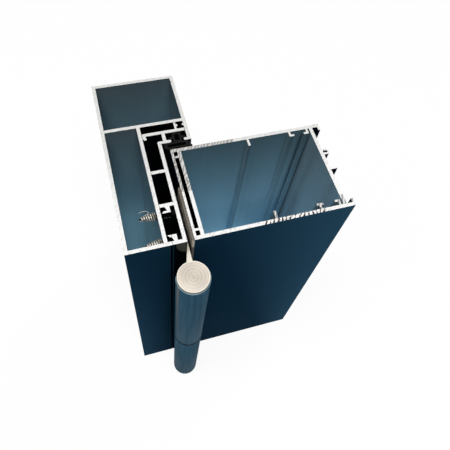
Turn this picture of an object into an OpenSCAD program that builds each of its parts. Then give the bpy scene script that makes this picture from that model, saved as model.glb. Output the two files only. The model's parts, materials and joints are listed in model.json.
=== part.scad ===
// Cut sample of an entrance door's hinge side, standing on its saw-cut end.
// A frame profile with its clip-on rebate profile and seal, a leaf profile, and the barrel hinge that joins them.
// X runs across the door from the frame to the leaf, +Y is the back and Z is up.
// The barrel stands in front of the front faces.

/* [Sample] */
// Length of both profiles, from the floor to the upper saw cut
sample_h = 210; // [170:1:260]
// Gap between the rebate profile and the edge of the leaf
edge_gap = 3.8; // [3.6:0.1:6]
// Depth of the leaf, which is flush with the frame at the front
leaf_depth = 57; // [54:0.5:64]

/* [Frame profile] */
// Width of the frame at its front, with the rebate profile
frame_front_w = 31.7; // [31:0.1:38]
// Width of the frame at its back chamber
frame_back_w = 49; // [48:0.5:52]
// Depth of the frame behind the leaf's back face
frame_back_d = 55; // [44:0.5:66]
// Wall of the frame profile
frame_wall = 2; // [1.6:0.1:2.4]
// Clear width of the tall chamber
tall_chamber_w = 18; // [15:0.5:18.5]
// Overhang of the front wall past the second wall
front_lap = 2.3; // [1.5:0.1:3]

/* [Rebate profile] */
// Wall of the rebate profile
rebate_wall = 2; // [1.6:0.1:2.2]
// Clear depth of the slot behind the rebate profile's back web
slot_d = 5; // [4:0.1:6]
// Width of the key chamber beside the slot
key_w = 4.4; // [4:0.1:5.5]
// Depth of the seal's groove
groove_d = 5; // [4.5:0.1:6]
// Width of the mouth of the seal's groove, between its two beads
groove_mouth = 7.2; // [6.6:0.1:7.6]
// Overhang of the groove's bead past its stem
groove_bead_lap = 2.6; // [2.2:0.1:3]
// Distance of the first cross web in front of the leaf's back face
web_1_d = 13; // [8:0.5:18]
// Distance of the second cross web in front of the leaf's back face
web_2_d = 34; // [28:0.5:36]
// Depth of the two hooks
hook_d = 3.6; // [3.2:0.1:4.4]
// Wall of the two hooks
hook_wall = 1.2; // [1:0.1:1.4]
// Distance of the hooks from the right wall
hook_gap = 2.4; // [2:0.1:3]
// Radius of the round beads on the slot walls and web ends
bead_r = 0.9; // [0.6:0.1:1]
// Play between the rebate profile and the frame profile where they clip together
clip_play = 0.2; // [0.1:0.05:0.4]

/* [Seal] */
// Play between the seal and the leaf's back face
seal_play = 0.6; // [0.4:0.1:1]
// Height of the seal's pad, from the leaf to the groove
seal_pad_d = 4.2; // [3.6:0.1:4.8]
// Width of the seal's neck
seal_neck_w = 5; // [4:0.1:6]
// Wall of the seal around its two hollows
seal_wall = 1.2; // [0.9:0.1:1.3]

/* [Leaf profile] */
// Width of the leaf with its glazing lips
leaf_w = 90; // [84:0.5:110]
// Depth of the glazing rebate beside the leaf's chamber
glazing_w = 4.5; // [4.4:0.1:6]
// Wall of the leaf profile
leaf_wall = 2.1; // [1.7:0.1:2.4]
// Clear width of the slot in the leaf's double edge
edge_slot_w = 2.2; // [1.6:0.1:2.6]
// Thin outer wall of the double edge, beside the gap
edge_skin = 1.4; // [1.2:0.1:2]
// Inner wall of the double edge, beside the chamber
edge_wall = 2; // [1.5:0.1:2.4]
// Length of the corner cells of the double edge
cell_d = 2.8; // [2:0.1:4]
// Distance of the two long fins from the leaf's edge
long_fin_x = 45; // [36:0.5:54]
// Length of the two long fins
long_fin_d = 4.6; // [3:0.1:8]
// Distance of the two middle fins from the glazing wall
mid_fin_x = 12.7; // [10:0.1:16]
// Distance of the two corner fins from the glazing wall
corner_fin_x = 1.7; // [1.5:0.1:2.5]
// Length of the middle and corner fins
short_fin_d = 3.4; // [2.8:0.1:5]
// Overhang of the feet on the middle and corner fins
fin_foot = 1.8; // [1:0.1:2.5]
// Thickness of the fins, ribs and lip hooks
fin_wall = 1.3; // [1:0.1:1.4]
// Return of the hooks on the glazing lips
lip_hook_d = 2.4; // [1.5:0.1:3]
// Distance of the curled rib in front of the leaf's back face
curl_d = 20; // [16:0.5:24]
// Radius of the curl on that rib
curl_r = 1.9; // [1.7:0.1:2.1]
// Distance of the straight rib in front of the leaf's back face
rib_d = 31; // [28:0.5:36]
// Length of the straight rib
rib_l = 4; // [2:0.1:4.4]

/* [Hinge] */
// Outer diameter of the barrel
barrel_d = 18.5; // [17:0.5:22]
// Thickness of the coloured sleeve on the barrel
sleeve_wall = 0.7; // [0.6:0.1:1.2]
// Depth of the upper sleeve's edge below the barrel's bare end
sleeve_drop = 1.4; // [0.4:0.1:2]
// Gap between the barrel and the front faces
barrel_gap = 5; // [5:0.1:8]
// Depth of the barrel's upper end below the saw cut
barrel_drop = 12; // [10:0.5:20]
// Length of the upper knuckle
upper_knuckle_l = 100; // [80:1:110]
// Height of the barrel's lower end above the floor
barrel_foot = 2; // [1:0.5:8]
// Thickness of the ring between the knuckles
ring_h = 1.6; // [1:0.1:2.5]
// Diameter of the pin
pin_d = 8; // [6:0.5:9]
// Running play of the pin in the lower knuckle, on its radius
pin_play = 0.05; // [0.03:0.01:0.1]
// Thickness of the frame's strap
strap_t = 1.6; // [1.4:0.1:1.8]
// Flare of the strap where it meets the barrel
strap_flare = 1.6; // [0.8:0.1:2.4]
// Reach of the frame's strap behind the front face
strap_d = 27; // [24:0.5:34]
// Thickness of the leaf's plate
plate_t = 1.2; // [1.1:0.1:1.4]
// Reach of the leaf's plate behind the front face
plate_d = 32.5; // [28:0.5:40]
// Depth of the plate's upper end below the saw cut
plate_drop = 1; // [0.5:0.1:4]

/* [Screws] */
// Diameter of the self-drilling screws that hold the rebate profile
drill_screw_d = 4; // [3.5:0.1:4.2]
// Reach of the screw tips into the tall chamber
drill_reach = 9.5; // [6:0.5:11]
// Depth of the screws below the saw cut
drill_drop = 5; // [4:0.5:7]
// Thickness of the self-drilling screws' flat heads
drill_head_t = 1; // [0.8:0.1:1.2]
// Diameter of the strap and plate screws
strap_screw_d = 3; // [2.5:0.1:3.2]
// Depth of the strap and plate screws' countersunk heads
sink_d = 1; // [0.8:0.1:1]
// Play of the screws in their holes, on the radius
hole_play = 0.05; // [0.03:0.01:0.1]

/* [Hidden] */
$fn = 48;
// Length by which a cut runs past the face that it opens
over = 1;

// The section is drawn from the leaf's back corner at the hinge side,
// then moved so that the origin is under the middle of the sample.
front = -leaf_depth;
wall_right = -edge_gap;
wall_left = wall_right - rebate_wall;
frame_left = wall_right - frame_front_w;
frame_right = frame_left + frame_back_w;
frame_back = frame_back_d;
tall_left = frame_left + frame_wall;
tall_right = tall_left + tall_chamber_w;
second_right = tall_right + frame_wall;
joint_x = second_right + front_lap;

// The groove, the slot and the frame's web lie one behind the other, from the seal's pad backwards.
lip_front = seal_play + seal_pad_d + clip_play;
groove_front = lip_front + 2 * bead_r;
groove_back = groove_front + groove_d;
web_b_back = groove_back + rebate_wall;
web_a_front = web_b_back + slot_d;
web_a_back = web_a_front + frame_wall;
bead_y = (lip_front + groove_front) / 2;

key_right = frame_right - frame_wall;
lip_bead_x = key_right - 1.4 * bead_r;
bar_bead_x = lip_bead_x - groove_mouth - 2 * bead_r;
stem_right = bar_bead_x + bead_r - groove_bead_lap;
stem_left = stem_right - rebate_wall;
key_left = key_right - key_w;
slot_bead_y = (web_a_front + web_b_back) / 2;
hook_right = wall_left - hook_gap;
hook_tip = second_right + 3 * clip_play;

chamber_left = edge_skin + edge_slot_w + edge_wall;
chamber_right = leaf_w - glazing_w - leaf_wall;
glazing_face = chamber_right + leaf_wall;

barrel_r = barrel_d / 2;
core_r = barrel_r - sleeve_wall;
axis_x = wall_right;
axis_y = front - barrel_gap - barrel_r;
barrel_top = sample_h - barrel_drop;
joint_top = barrel_top - upper_knuckle_l;
joint_low = joint_top - ring_h;
lower_knuckle_l = joint_low - barrel_foot;
strap_right = wall_right + strap_t;
plate_back = front + plate_d;
plate_top = sample_h - plate_drop;
// The pin ends in solid metal, one and a half diameters from each end of the barrel.
pin_top = barrel_top - 1.5 * pin_d;
pin_low = barrel_foot + 1.5 * pin_d;
// The upper sleeve is open from the strap round to this angle.
sleeve_edge_deg = 162;

drill_z = sample_h - drill_drop;
drill_back_y = -web_2_d - rebate_wall / 2 - hook_d / 2;
drill_front_y = front + frame_wall + drill_screw_d / 2 + 2 * clip_play;
strap_screw_y = front + strap_d / 2;
plate_screw_y = front + plate_d / 2;
strap_screw_zs = [for (i = [0:2]) barrel_top - upper_knuckle_l * (0.15 + 0.35 * i)];
plate_screw_zs = [for (i = [0:2]) joint_low - lower_knuckle_l * (0.15 + 0.35 * i)];
strap_screw_l = strap_t + rebate_wall + over;
plate_screw_l = plate_t + edge_skin + edge_slot_w - over / 2;

mid_x = (frame_left + leaf_w) / 2;
mid_y = (frame_back + axis_y - barrel_r) / 2;

module place() translate([-mid_x, -mid_y, 0]) children();
module rect(x0, x1, y0, y1) translate([min(x0, x1), min(y0, y1)]) square([abs(x1 - x0), abs(y1 - y0)]);
module bead(x, y) translate([x, y]) circle(r = bead_r);
// A screw or hole along X that starts at x and points to +X or -X
module along_x(x, y, z, dir) translate([x, y, z]) rotate([0, dir * 90, 0]) children();

// Holes of the self-drilling screws through both profiles
module drill_holes() for (y = [drill_back_y, drill_front_y])
    along_x(wall_right + over, y, drill_z, -1)
        cylinder(d = drill_screw_d + 2 * hole_play, h = wall_right - tall_right + 2 * over);

module frame_profile() place() color("#1A3048") difference() {
    linear_extrude(sample_h) {
        rect(frame_left, tall_left, front, frame_back);
        rect(frame_left, frame_right, frame_back - frame_wall, frame_back);
        rect(frame_left, frame_right, web_a_front, web_a_back);
        rect(key_right, frame_right, lip_front, frame_back);
        rect(tall_right, second_right, front, web_a_back);
        rect(frame_left, joint_x - clip_play, front, front + frame_wall);
        rect(lip_bead_x, frame_right, lip_front, groove_front);
        bead(lip_bead_x, bead_y);
        bead(key_right, slot_bead_y);
    }
    drill_holes();
}

// A hook on a wall at y that reaches to the back or the front, with a pointed tip and a slanted bar in its pocket
module hook(y, dir) {
    root = y - dir * rebate_wall / 2;
    outer = y + dir * hook_d;
    inner = outer - dir * hook_wall;
    leg_left = hook_right - hook_wall;
    outline = [[hook_right, root], [hook_right, outer], [hook_tip, outer],
               [hook_tip + hook_wall, inner], [leg_left, inner], [leg_left, root]];
    last = len(outline) - 1;
    // The points run anticlockwise for both hooks.
    polygon([for (i = [0:last]) outline[dir > 0 ? i : last - i]]);
    bar_left = hook_tip + 1.4 * hook_wall;
    bar_back = max(root, outer - dir * hook_wall / 2);
    bar_front = min(root, outer - dir * hook_wall / 2);
    polygon([[bar_left + hook_wall, bar_back], [bar_left, bar_back],
             [bar_left + 1.4 * hook_wall, bar_front], [bar_left + 2.4 * hook_wall, bar_front]]);
}

module rebate_profile() place() color("#1A3048") difference() {
    linear_extrude(sample_h) {
        web_left = second_right + clip_play;
        rect(web_left + bead_r, key_right - clip_play, groove_back, web_b_back);
        bead(web_left + bead_r, web_b_back - bead_r);
        rect(web_left, web_left + 2 * bead_r, groove_back - 2 * bead_r, web_b_back - bead_r);
        bead(web_left + 1.4 * bead_r, groove_back - 2 * bead_r);
        rect(key_left - hook_wall, key_left, groove_back, web_a_front - clip_play);
        bead(key_left, slot_bead_y);
        rect(stem_left, stem_right, lip_front, web_b_back);
        rect(wall_left + bead_r, bar_bead_x, lip_front, groove_front);
        bead(wall_left + bead_r, bead_y);
        bead(bar_bead_x, bead_y);
        rect(wall_left, wall_right, front, bead_y);
        for (web_y = [-web_1_d, -web_2_d])
            rect(web_left, wall_right, web_y - rebate_wall / 2, web_y + rebate_wall / 2);
        rect(joint_x, wall_right, front, front + rebate_wall);
        hook(-web_2_d - rebate_wall / 2, -1);
        hook(front + rebate_wall, 1);
    }
    drill_holes();
    for (y = [drill_back_y, drill_front_y])
        along_x(wall_right + over, y, drill_z, -1)
            cylinder(r = drill_screw_d + 2 * hole_play, h = over + drill_head_t);
    for (z = strap_screw_zs)
        along_x(wall_right + over, strap_screw_y, z, -1)
            cylinder(d = strap_screw_d + 2 * hole_play, h = rebate_wall + 2 * over);
}

// The seal has an anchor head in the groove, a neck through its mouth, and a pad that ends in a thin lip.
module rebate_seal() place() color("#24262A") linear_extrude(sample_h) {
    mid = (bar_bead_x + lip_bead_x) / 2;
    neck = seal_neck_w / 2;
    wing = groove_mouth / 2 + 1.2 * bead_r;
    wing_y = groove_front + clip_play;
    head_back = groove_back - 3 * clip_play;
    pad_back = seal_play + seal_pad_d;
    pad_left = wall_right + seal_wall;
    pad_right = frame_right - clip_play;
    difference() {
        polygon([[pad_left + seal_wall, seal_play], [pad_left, seal_play + seal_wall],
                 [pad_left, pad_back - seal_wall], [pad_left + seal_wall, pad_back], [mid - neck, pad_back],
                 [mid - neck, wing_y], [mid - wing, wing_y], [mid - wing, wing_y + seal_wall],
                 [mid - neck, wing_y + 1.5 * seal_wall], [mid - neck, head_back - seal_wall / 2],
                 [mid - neck - seal_wall / 2, head_back], [mid + neck + seal_wall / 2, head_back],
                 [mid + neck, head_back - seal_wall / 2], [mid + neck, wing_y + 1.5 * seal_wall],
                 [mid + wing, wing_y + seal_wall], [mid + wing, wing_y], [mid + neck, wing_y],
                 [mid + neck, pad_back], [pad_right - 2 * seal_wall, pad_back], [pad_right, seal_play]]);
        rect(mid - neck + seal_wall, mid + neck - seal_wall, bead_y, head_back - seal_wall);
        rect(pad_left + 1.5 * seal_wall, pad_right - 3 * seal_wall, seal_play + seal_wall, pad_back - seal_wall);
    }
}

// A fin on an inner face at (x, y) that grows to the back or the front, with feet to the left and right
module fin(x, y, dir, length, foot_l, foot_r) {
    rect(x - fin_wall / 2, x + fin_wall / 2, y - dir * over, y + dir * length);
    rect(x - fin_wall / 2 - foot_l, x + fin_wall / 2 + foot_r, y + dir * (length - fin_wall), y + dir * length);
}

// A rib on the glazing wall whose end curls back in a C, clear of the wall
module curled_rib() {
    rect(chamber_right, glazing_face + curl_r, -curl_d - curl_r, -curl_d - curl_r + fin_wall);
    translate([glazing_face + curl_r, -curl_d]) difference() {
        circle(r = curl_r);
        circle(r = curl_r - fin_wall / 1.2);
        translate([-2 * curl_r, fin_wall / 2 - curl_r]) square([1.6 * curl_r, 3 * curl_r]);
    }
}

module leaf_profile() place() color("#1A3048") difference() {
    linear_extrude(sample_h) {
        back_face = -leaf_wall;
        front_face = front + leaf_wall;
        rect(0, leaf_w, back_face, 0);
        rect(0, leaf_w, front, front_face);
        rect(0, edge_skin, front, 0);
        rect(edge_skin + edge_slot_w, chamber_left, front, 0);
        rect(0, chamber_left, back_face - cell_d - fin_wall, back_face - cell_d);
        rect(0, chamber_left, front_face + cell_d, front_face + cell_d + fin_wall);
        rect(chamber_right, glazing_face, front, 0);
        fin(long_fin_x, back_face, -1, long_fin_d, 0, 0);
        fin(chamber_right - mid_fin_x, back_face, -1, short_fin_d, 0, fin_foot);
        fin(chamber_right - corner_fin_x, back_face, -1, short_fin_d, fin_foot, 0);
        fin(long_fin_x, front_face, 1, long_fin_d, 0, 0);
        fin(chamber_right - mid_fin_x, front_face, 1, short_fin_d, fin_foot / 1.4, fin_foot / 1.4);
        fin(chamber_right - corner_fin_x, front_face, 1, short_fin_d, fin_foot, 0);
        rect(leaf_w - fin_wall, leaf_w, back_face - lip_hook_d, 0);
        rect(leaf_w - fin_wall, leaf_w, front, front_face + lip_hook_d);
        rect(chamber_right, glazing_face + rib_l, -rib_d - fin_wall, -rib_d);
        curled_rib();
    }
    for (z = plate_screw_zs)
        along_x(-over, plate_screw_y, z, 1)
            cylinder(d = strap_screw_d + 2 * hole_play, h = over + edge_skin + edge_slot_w);
}

module tube(r_out, r_in, z0, z1) translate([axis_x, axis_y, z0]) difference() {
    cylinder(r = r_out, h = z1 - z0);
    translate([0, 0, -over]) cylinder(r = r_in, h = z1 - z0 + 2 * over);
}

// Countersunk holes through a strap or plate whose outer face is at x
module countersinks(x, y, zs, dir, depth) for (z = zs) {
    along_x(x - dir * over, y, z, dir) cylinder(d = strap_screw_d + 2 * hole_play, h = depth + 2 * over);
    along_x(x, y, z, dir) cylinder(r1 = strap_screw_d + hole_play, r2 = strap_screw_d / 2 + hole_play, h = sink_d);
    along_x(x - dir * over, y, z, dir) cylinder(r = strap_screw_d + hole_play, h = over);
}

// The strap lies on the rebate profile, and its neck flares where it runs into the barrel.
module upper_knuckle() place() color("#D8CFC2") difference() {
    translate([0, 0, joint_top]) linear_extrude(upper_knuckle_l) {
        translate([axis_x, axis_y]) circle(r = core_r);
        rect(wall_right, strap_right, front, front + strap_d);
        polygon([[wall_right, front], [wall_right - strap_flare, axis_y + core_r], [wall_right - strap_flare, axis_y],
                 [strap_right, axis_y], [strap_right, front]]);
    }
    translate([axis_x, axis_y, joint_top - over])
        cylinder(r = pin_d / 2 + hole_play, h = pin_top - joint_top + over);
    countersinks(strap_right, strap_screw_y, strap_screw_zs, -1, strap_t);
}

// The sleeve leaves the barrel's metal bare between the strap and the sleeve's far edge.
module upper_sleeve() place() color("#2F4A5A") difference() {
    tube(barrel_r, core_r + hole_play, joint_top, barrel_top - sleeve_drop);
    reach = 2 * barrel_r;
    translate([axis_x, axis_y, joint_top - over]) linear_extrude(upper_knuckle_l + 2 * over)
        polygon([[0, 0], [reach * cos(sleeve_edge_deg), reach * sin(sleeve_edge_deg)], [-reach, reach],
                 [strap_t + clip_play, reach], [strap_t + clip_play, 0]]);
}

module lower_knuckle() place() color("#8B7F74") difference() {
    union() {
        translate([axis_x, axis_y, barrel_foot]) cylinder(r = core_r, h = lower_knuckle_l);
        // The plate's outline lies in Y and Z: high on the leaf's edge, low where it runs into the barrel.
        translate([-plate_t, 0, 0]) rotate([90, 0, 90]) linear_extrude(plate_t)
            polygon([[axis_y, barrel_foot], [plate_back, barrel_foot], [plate_back, plate_top],
                     [front, plate_top], [front, joint_low], [axis_y, joint_low]]);
    }
    translate([axis_x, axis_y, pin_low]) cylinder(r = pin_d / 2 + pin_play, h = joint_low - pin_low + over);
    countersinks(-plate_t, plate_screw_y, plate_screw_zs, 1, plate_t);
}

module lower_sleeve() place() color("#2F4A5A") difference() {
    tube(barrel_r, core_r + hole_play, barrel_foot, joint_low);
    translate([-plate_t - clip_play, axis_y, barrel_foot - over])
        cube([plate_t + 2 * clip_play, barrel_r + over, lower_knuckle_l + 2 * over]);
}

module hinge_pin() place() color("#8C8F92")
    translate([axis_x, axis_y, pin_low + clip_play]) cylinder(d = pin_d, h = pin_top - pin_low - clip_play);

module joint_ring() place() color("#15171A")
    tube(core_r, pin_d / 2 + pin_play, joint_low + clip_play / 2, joint_top);

// A self-drilling screw with a flat head, a shank and a drill point
module drill_screw(y) place() color("#A7A9AA") {
    shank_l = wall_right - tall_right + drill_reach - drill_screw_d;
    along_x(wall_right, y, drill_z, -1) {
        cylinder(r = drill_screw_d, h = drill_head_t);
        cylinder(d = drill_screw_d, h = shank_l);
        translate([0, 0, shank_l]) cylinder(d1 = drill_screw_d, d2 = drill_screw_d / 6, h = drill_screw_d);
    }
}
module drill_screw_back() drill_screw(drill_back_y);
module drill_screw_front() drill_screw(drill_front_y);

// A countersunk screw, its head flush with the strap or plate
module strap_screw(x, y, z, dir, length) place() color("#A7A9AA") along_x(x, y, z, dir) {
    cylinder(r1 = strap_screw_d, r2 = strap_screw_d / 2, h = sink_d);
    cylinder(d = strap_screw_d, h = length);
}
module strap_screw_top() strap_screw(strap_right, strap_screw_y, strap_screw_zs[0], -1, strap_screw_l);
module strap_screw_mid() strap_screw(strap_right, strap_screw_y, strap_screw_zs[1], -1, strap_screw_l);
module strap_screw_low() strap_screw(strap_right, strap_screw_y, strap_screw_zs[2], -1, strap_screw_l);
module plate_screw_top() strap_screw(-plate_t, plate_screw_y, plate_screw_zs[0], 1, plate_screw_l);
module plate_screw_mid() strap_screw(-plate_t, plate_screw_y, plate_screw_zs[1], 1, plate_screw_l);
module plate_screw_low() strap_screw(-plate_t, plate_screw_y, plate_screw_zs[2], 1, plate_screw_l);

frame_profile();
rebate_profile();
rebate_seal();
leaf_profile();
upper_knuckle();
upper_sleeve();
lower_knuckle();
lower_sleeve();
hinge_pin();
joint_ring();
drill_screw_back();
drill_screw_front();
strap_screw_top();
strap_screw_mid();
strap_screw_low();
plate_screw_top();
plate_screw_mid();
plate_screw_low();
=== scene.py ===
"""Finishes a cut door profile sample: coated profiles with sawn ends, a seal, a barrel hinge and screws."""

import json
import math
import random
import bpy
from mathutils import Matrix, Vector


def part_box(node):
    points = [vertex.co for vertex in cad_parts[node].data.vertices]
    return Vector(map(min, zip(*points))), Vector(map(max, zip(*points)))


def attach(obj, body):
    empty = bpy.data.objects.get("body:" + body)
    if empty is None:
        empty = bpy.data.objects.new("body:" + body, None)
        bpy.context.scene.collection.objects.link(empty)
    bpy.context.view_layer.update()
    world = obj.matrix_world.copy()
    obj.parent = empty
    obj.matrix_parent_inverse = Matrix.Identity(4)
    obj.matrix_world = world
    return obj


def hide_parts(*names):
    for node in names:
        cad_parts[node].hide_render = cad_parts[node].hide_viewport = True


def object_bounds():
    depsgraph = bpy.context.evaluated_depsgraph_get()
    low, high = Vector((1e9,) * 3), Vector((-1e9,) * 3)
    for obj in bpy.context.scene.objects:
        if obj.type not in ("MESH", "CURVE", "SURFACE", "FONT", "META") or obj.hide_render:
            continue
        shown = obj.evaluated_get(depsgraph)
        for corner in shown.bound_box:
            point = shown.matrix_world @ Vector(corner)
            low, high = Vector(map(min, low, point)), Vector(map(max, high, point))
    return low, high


bl_info = {
    "name": "Door Profile Sample",
    "version": (1, 0, 0),
    "blender": (4, 5, 0),
    "location": "View3D > Sidebar > Door Sample",
    "description": "Finishes a cut door profile sample and its barrel hinge, and sets up a studio for it",
    "category": "Object",
}

from functools import partial

import bmesh
import bpy
from bpy.props import FloatProperty, FloatVectorProperty, IntProperty, PointerProperty
from mathutils import Color, Matrix, Vector

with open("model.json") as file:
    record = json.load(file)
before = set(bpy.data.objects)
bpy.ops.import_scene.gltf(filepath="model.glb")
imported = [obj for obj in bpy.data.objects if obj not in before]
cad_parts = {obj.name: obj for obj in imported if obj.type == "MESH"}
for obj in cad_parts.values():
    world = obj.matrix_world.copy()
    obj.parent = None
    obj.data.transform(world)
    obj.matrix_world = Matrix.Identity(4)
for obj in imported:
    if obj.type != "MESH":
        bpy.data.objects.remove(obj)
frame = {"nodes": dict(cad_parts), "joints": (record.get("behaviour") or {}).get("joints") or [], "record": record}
CAD_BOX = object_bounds()

MM = 0.001
FULL_TURN = 2 * math.pi
AXIS_X, AXIS_Y = frame["joints"][0]["pos_m"][:2]
AXIS = Vector((AXIS_X, AXIS_Y, 0))
UPWARD = (0, 0, 1)
LEAF_LOW, LEAF_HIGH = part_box("leaf_profile")
OPENINGS = {opening["name"]: opening["box_m"] for opening in frame["record"]["physics"]["openings"]}

# Vertices closer than this are merged
MERGE = 1e-6
# Edges sharper than this stay sharp
SHARP = math.radians(35)
# Steps of a spin round the barrel
ROUND_STEPS = 96
# Directions, seen from the barrel's axis, of the upper sleeve's open edge and of its painted warm reflection
OPEN_EDGE = math.radians(162)
REFLECTION_ANGLE = math.radians(17.5)
# Slants of the saw stripes, of the torn gashes and of the hatch on the plate
SAW_SLANT = math.radians(38)
GASH_SLANT = math.radians(24)
HATCH_SLANT = math.radians(-50)
# A face points one way when its normal leans that way by more than this
LEAN = 0.7
# Depth of the fine relief of the finishes
RELIEF = 0.05 * MM


def linear(code):
    """Turns an sRGB hex colour into linear red, green and blue."""
    parts = [int(code[i:i + 2], 16) / 255 for i in (1, 3, 5)]
    return tuple(c / 12.92 if c <= 0.04045 else ((c + 0.055) / 1.055) ** 2.4 for c in parts)


def size(name, description, millimetres):
    """A length that a user may change."""
    return FloatProperty(name=name, description=description, default=millimetres * MM,
                         min=0.0, precision=5, subtype="DISTANCE", unit="LENGTH")


def colour(name, description, code):
    """A colour that a user may change."""
    return FloatVectorProperty(name=name, description=description, default=linear(code),
                               min=0.0, max=1.0, size=3, subtype="COLOR")


def level(name, description, value):
    """A brightness that a user may change, as what the light gives a white card."""
    return FloatProperty(name=name, description=description, default=value, min=0.0)


class SampleSizes(bpy.types.PropertyGroup):
    """Real sizes of the details."""

    wall: size("Profile Wall", "Wall of the frame, rebate and leaf profiles", 2.0)
    saw_pitch: size("Saw Mark Pitch", "Distance between the stripes that the saw left on the cut ends", 3.7)
    scratch_pitch: size("Saw Scratch Pitch", "Distance between the fine scratches within a stripe", 1.2)
    speck: size("Speck", "Size of the dull specks on the cut ends", 0.8)
    # Over this depth the chambers' colour pales as painted light.
    coat_reach: size("Coat Reach", "Depth over which the chambers' coating grows paler", 112.0)
    coat_streak: size("Coat Streak", "Width of the faint streaks down the chambers' walls", 2.4)
    # Within this reach the fins' tips take painted shade.
    fin_reach: size("Fin Reach", "Distance from the leaf's back wall within which the fins end", 6.0)
    peel: size("Coat Ripple", "Width of the ripples in the coating", 1.2)
    foot_inset: size("Foot Inset", "Distance of the front joint from the rebate profile's left end", 2.1)
    # The lit edge is a painted highlight, and the dark groove is painted shade.
    joint_edge: size("Joint Edge", "Width of the lit edge beside the front joint", 0.5)
    joint_groove: size("Joint Groove", "Width of the dark groove beside the front joint", 1.1)
    # The foot patch is a painted pool of light.
    patch_width: size("Foot Patch Width", "Width of the worn patch on the foot beside the strap", 6.3)
    patch_height: size("Foot Patch Height", "Height of that patch", 12.5)
    gash_start: size("Gash Start", "Distance of the front cut's torn stretch from the leaf's edge", 37.0)
    gash_end: size("Gash End", "Distance of that stretch's far end from the leaf's edge", 74.0)
    gash_pitch: size("Gash Pitch", "Distance between the gashes in the torn stretch", 2.2)
    rough_pitch: size("Rough Cut Pitch", "Distance between the marks on the leaf's rough back corner", 1.8)
    ring_pitch: size("Turning Pitch", "Distance between the rings turned into the barrel's end", 1.7)
    ring_depth: size("Turning Depth", "Depth of those rings", 0.05)
    disc_patch: size("Turning Patch", "Size of the patches in which the turning rings fade", 6.0)
    disc_rim: size("Turned Rim", "Width of the bright rim of the barrel's end", 0.6)
    smudge: size("Smudge", "Size of the smudges on the bare barrel", 4.0)
    sleeve_wall: size("Sleeve Wall", "Thickness of the sleeves on the barrel", 0.65)
    sleeve_streak: size("Sleeve Streak", "Width of the drawn streaks on the sleeves", 1.6)
    slit_play: size("Slit Play", "Play between the sleeves and the strap or plate that leaves them", 0.2)
    ring_edge: size("Ring Edge", "Rounding of the ring between the knuckles", 0.25)
    ring_play: size("Ring Play", "Play of that ring round the pin", 0.05)
    # The sleeves grow darker over this reach beside the ring.
    ring_dark_reach: size("Joint Grime", "Reach of the dark grease on the sleeves beside that ring", 0.9)
    mottle: size("Ring Mottle", "Size of the mottle on that ring", 1.0)
    strap: size("Strap", "Thickness of the frame's strap", 1.6)
    plate: size("Plate", "Thickness of the leaf's plate", 1.2)
    plate_streak: size("Plate Streak", "Width of the rolling streaks on the plate", 0.8)
    plate_hatch: size("Plate Hatch", "Distance between the saw marks on the plate", 1.4)
    # Below the plate's strip lies painted shadow, fading in over the shadow edge.
    plate_strip: size("Plate Strip", "Height of the bare strip along the plate's top", 6.5)
    shadow_edge: size("Tarnish Edge", "Height over which that strip turns into tarnish", 1.5)
    thread_crest: size("Thread Crest", "Radius of the self-drilling screws over their threads", 2.35)
    thread_pitch: size("Thread Pitch", "Pitch of the self-drilling screws", 1.2)
    thread_depth: size("Thread Depth", "Depth of the screws' threads", 0.55)
    screw_taper: size("Screw Taper", "Length over which the self-drilling screws narrow to their tips", 5.0)
    screw_head: size("Screw Head", "Height of the screws' heads", 1.0)
    steel_patch: size("Steel Patch", "Size of the dull patches on the plated steel", 1.25)
    # The shaded steel is painted shade on the screws.
    shaded_steel_patch: size("Oil Stain", "Size of the stains on the oiled steel", 1.4286)
    burr_place: size("Burr Place", "Distance of the burrs from the self-drilling screws' tips", 7.6)
    burr_width: size("Burr Width", "Width of the burrs at their foot", 0.6)
    swarf_radius: size("Swarf Radius", "Radius of the swarf curl", 2.5)
    swarf_width: size("Swarf Width", "Width of the swarf curl's ribbon", 0.35)
    swarf_wall: size("Swarf Wall", "Thickness of that ribbon", 0.15)
    swarf_rise: size("Swarf Rise", "Height that the curl gains from end to end", 0.4)
    seal_edge: size("Seal Edge", "Rounding of the seal's corners", 0.3)
    rubber_grain: size("Rubber Grain", "Size of the grain of the seal", 0.5)


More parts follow.
